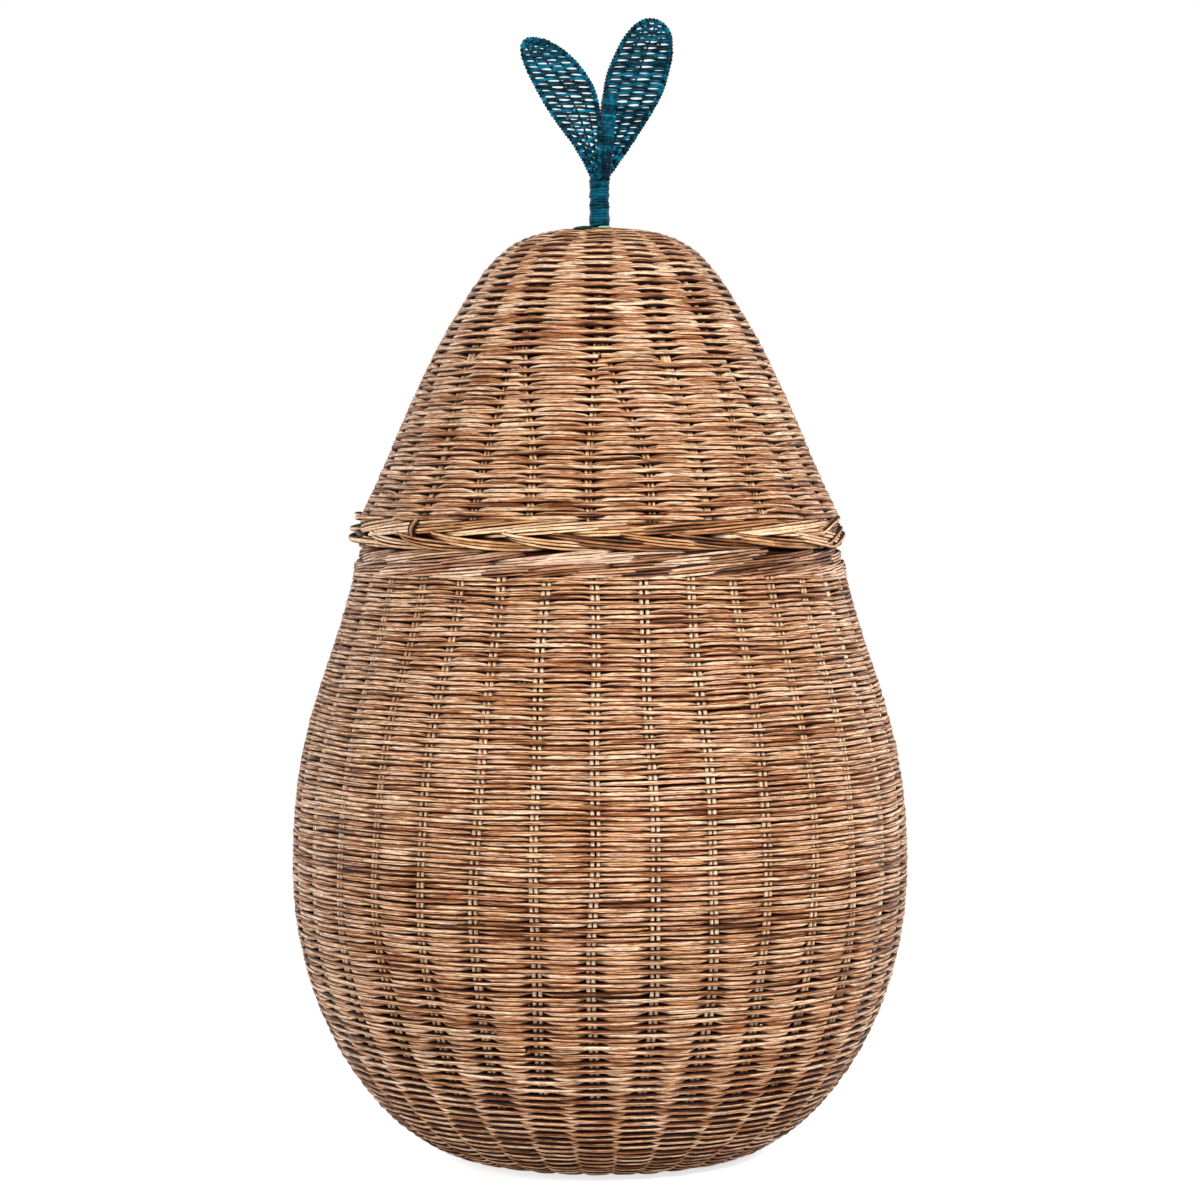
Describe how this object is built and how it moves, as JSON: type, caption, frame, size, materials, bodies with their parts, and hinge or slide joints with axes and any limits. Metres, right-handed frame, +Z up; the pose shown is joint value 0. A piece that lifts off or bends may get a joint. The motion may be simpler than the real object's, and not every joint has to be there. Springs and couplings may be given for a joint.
{
  "type": "lidded pear-shaped basket",
  "caption": "Tall pear-shaped woven rattan basket with a lift-off domed lid that carries a wrapped teal stalk and woven leaves.",
  "frame": {"origin": "centre of the foot, on the surface the basket stands on", "axes": "+Z up through the stalk, -Y towards the front, as the picture sees it, +X to the right"},
  "size_m": [0.4237, 0.4232, 0.7839],
  "materials": {
    "body_rattan": "natural round-core rattan weave, matt, honey brown",
    "lid_rattan": "natural round-core rattan weave, matt, a little lighter and more golden",
    "stake_rattan": "natural rattan rods, matt",
    "teal_rattan": "rattan skein painted teal, satin"
  },
  "bodies": {
    "basket_body": {"base_weave": "body_rattan", "foot_wale": "body_rattan", "side_weave": "body_rattan", "body_rim_wale": "body_rattan", "body_rim_border": "body_rattan", "body_stake_01": "stake_rattan", "body_stake_02": "stake_rattan", "body_stake_03": "stake_rattan", "body_stake_04": "stake_rattan", "body_stake_05": "stake_rattan", "body_stake_06": "stake_rattan", "body_stake_07": "stake_rattan", "body_stake_08": "stake_rattan", "body_stake_09": "stake_rattan", "body_stake_10": "stake_rattan", "body_stake_11": "stake_rattan", "body_stake_12": "stake_rattan", "body_stake_13": "stake_rattan", "body_stake_14": "stake_rattan", "body_stake_15": "stake_rattan", "body_stake_16": "stake_rattan", "body_stake_17": "stake_rattan", "body_stake_18": "stake_rattan", "body_stake_19": "stake_rattan", "body_stake_20": "stake_rattan", "body_stake_21": "stake_rattan", "body_stake_22": "stake_rattan", "body_stake_23": "stake_rattan", "body_stake_24": "stake_rattan", "body_stake_25": "stake_rattan", "body_stake_26": "stake_rattan", "body_stake_27": "stake_rattan", "body_stake_28": "stake_rattan", "body_stake_29": "stake_rattan", "body_stake_30": "stake_rattan", "body_stake_31": "stake_rattan"},
    "lid": {"lid_weave": "lid_rattan", "lid_rim_wale": "lid_rattan", "lid_rim_border": "lid_rattan", "locating_ring": "lid_rattan", "lid_stake_01": "stake_rattan", "lid_stake_02": "stake_rattan", "lid_stake_03": "stake_rattan", "lid_stake_04": "stake_rattan", "lid_stake_05": "stake_rattan", "lid_stake_06": "stake_rattan", "lid_stake_07": "stake_rattan", "lid_stake_08": "stake_rattan", "lid_stake_09": "stake_rattan", "lid_stake_10": "stake_rattan", "lid_stake_11": "stake_rattan", "lid_stake_12": "stake_rattan", "lid_stake_13": "stake_rattan", "stem_core": "teal_rattan", "stem_binding": "teal_rattan", "stem_stub": "teal_rattan", "leaf_left_frame": "teal_rattan", "leaf_left_web": "teal_rattan", "leaf_right_frame": "teal_rattan", "leaf_right_web": "teal_rattan"}
  },
  "joints": [
    {"name": "lid_lift", "type": "slide", "parent": "basket_body", "child": "lid", "axis": [0, 0, 1], "range_m": [0, 0.25]}
  ]
}
